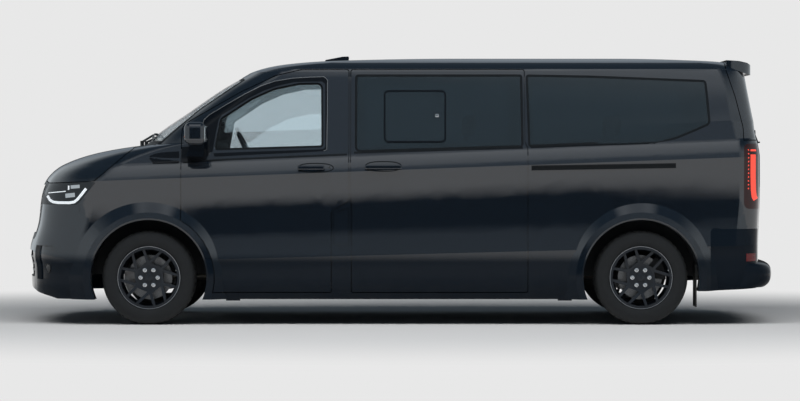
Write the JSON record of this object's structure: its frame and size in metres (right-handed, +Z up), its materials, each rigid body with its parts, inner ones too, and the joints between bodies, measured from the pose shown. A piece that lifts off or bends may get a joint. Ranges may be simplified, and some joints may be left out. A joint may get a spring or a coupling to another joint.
{
  "type": "minibus",
  "caption": "Long-wheelbase passenger minibus with hinged front doors, fixed sliding doors, lifting tailgate and bonnet, steered front wheels and a glazed hollow cabin.",
  "frame": {"origin": "on the ground below the middle of the vehicle's length and width", "axes": "+X to the rear, along the length; +Y to the passenger's side; +Z up"},
  "size_m": [5.4478, 2.274, 1.9376],
  "materials": {
    "paint": "gloss black clear-coated paint",
    "clear_glass": "lightly tinted glass",
    "dark_glass": "dark privacy glass",
    "black_plastic": "fine-grained black plastic",
    "lamp_lens": "smoked clear lamp lens",
    "tail_lens": "dark red lamp lens",
    "underbody": "sealed black underbody",
    "liner_plastic": "rough black liner",
    "flap_rubber": "black rubber",
    "cabin_plastic": "grained soft-touch plastic",
    "seat_fabric": "woven dark seat cloth",
    "cast_metal": "rough casting",
    "chassis_steel": "black painted steel",
    "exhaust_steel": "dull steel",
    "tank_plastic": "moulded black plastic",
    "tyre": "black tyre rubber",
    "rim_black": "satin black",
    "disc_steel": "turned steel"
  },
  "bodies": {
    "body": {"roof": "paint", "body_side_left": "paint", "body_side_right": "paint", "fender_left": "paint", "fender_right": "paint", "windscreen": "clear_glass", "cowl_panel": "black_plastic", "headlamps": "lamp_lens", "tail_lamps": "tail_lens", "sliding_door_left": "paint", "sliding_door_right": "paint", "side_glass_left": "dark_glass", "side_glass_right": "dark_glass", "grille": "black_plastic", "front_bumper": "paint", "rear_bumper": "paint", "floor_pan": "underbody", "toe_board": "underbody", "wheel_houses": "underbody", "frame_rails": "chassis_steel", "arch_liners": "liner_plastic", "mud_flaps": "flap_rubber", "dashboard": "cabin_plastic", "front_seats": "seat_fabric", "rear_seats": "seat_fabric", "engine": "cast_metal", "front_subframe": "chassis_steel", "rear_axle": "chassis_steel", "exhaust": "exhaust_steel", "fuel_tank": "tank_plastic", "sliding_handles": "paint", "wipers": "black_plastic"},
    "wheel_front_left": {"tyre_front_left": "tyre", "rim_front_left": "rim_black", "disc_front_left": "disc_steel"},
    "wheel_front_right": {"tyre_front_right": "tyre", "rim_front_right": "rim_black", "disc_front_right": "disc_steel"},
    "wheel_rear_left": {"tyre_rear_left": "tyre", "rim_rear_left": "rim_black", "disc_rear_left": "disc_steel"},
    "wheel_rear_right": {"tyre_rear_right": "tyre", "rim_rear_right": "rim_black", "disc_rear_right": "disc_steel"},
    "steering_left": {"knuckle_left": "cast_metal"},
    "steering_right": {"knuckle_right": "cast_metal"},
    "steering_wheel": {"steering_wheel": "cabin_plastic"},
    "door_left": {"front_door_left": "paint", "front_door_glass_left": "clear_glass", "mirror_left": "paint", "front_handle_left": "paint"},
    "door_right": {"front_door_right": "paint", "front_door_glass_right": "clear_glass", "mirror_right": "paint", "front_handle_right": "paint"},
    "tailgate": {"tailgate": "paint", "tailgate_glass": "dark_glass", "rear_wiper": "black_plastic"},
    "bonnet": {"bonnet": "paint"},
    "fuel_flap": {"fuel_flap": "paint"}
  },
  "joints": [
    {"name": "steer_left", "type": "hinge", "parent": "body", "child": "steering_left", "pos_m": [-1.78, -0.795, 0.335], "axis": [0, 0, 1], "range_deg": [-35, 35]},
    {"name": "steer_right", "type": "hinge", "parent": "body", "child": "steering_right", "pos_m": [-1.78, 0.795, 0.335], "axis": [0, 0, 1], "range_deg": [-35, 35]},
    {"name": "steering_wheel_turn", "type": "hinge", "parent": "body", "child": "steering_wheel", "pos_m": [-1.085, -0.4, 1.195], "axis": [0.891, 0, 0.454], "range_deg": [-510, 510]},
    {"name": "spin_front_left", "type": "hinge", "parent": "steering_left", "child": "wheel_front_left", "pos_m": [-1.78, -0.87, 0.335], "axis": [0, 1, 0], "continuous": true},
    {"name": "spin_front_right", "type": "hinge", "parent": "steering_right", "child": "wheel_front_right", "pos_m": [-1.78, 0.87, 0.335], "axis": [0, 1, 0], "continuous": true},
    {"name": "spin_rear_left", "type": "hinge", "parent": "body", "child": "wheel_rear_left", "pos_m": [1.72, -0.87, 0.335], "axis": [0, 1, 0], "continuous": true},
    {"name": "spin_rear_right", "type": "hinge", "parent": "body", "child": "wheel_rear_right", "pos_m": [1.72, 0.87, 0.335], "axis": [0, 1, 0], "continuous": true},
    {"name": "door_left_open", "type": "hinge", "parent": "body", "child": "door_left", "pos_m": [-1.555, -1.018, 0.9], "axis": [0, 0, -1], "range_deg": [0, 65]},
    {"name": "door_right_open", "type": "hinge", "parent": "body", "child": "door_right", "pos_m": [-1.555, 1.018, 0.9], "axis": [0, 0, 1], "range_deg": [0, 65]},
    {"name": "tailgate_open", "type": "hinge", "parent": "body", "child": "tailgate", "pos_m": [2.341, 0, 1.894], "axis": [0, -1, 0], "range_deg": [0, 85]},
    {"name": "bonnet_open", "type": "hinge", "parent": "body", "child": "bonnet", "pos_m": [-1.9035, 0, 1.2765], "axis": [0, 1, 0], "range_deg": [0, 50]},
    {"name": "fuel_flap_open", "type": "hinge", "parent": "body", "child": "fuel_flap", "pos_m": [-0.3585, -0.992, 0.7], "axis": [0, 0, 1], "range_deg": [0, 90]}
  ],
  "couplings": [
    {"joint": "steer_right", "follows": "steer_left", "ratio": 1},
    {"joint": "steering_wheel_turn", "follows": "steer_left", "ratio": 14.5}
  ]
}
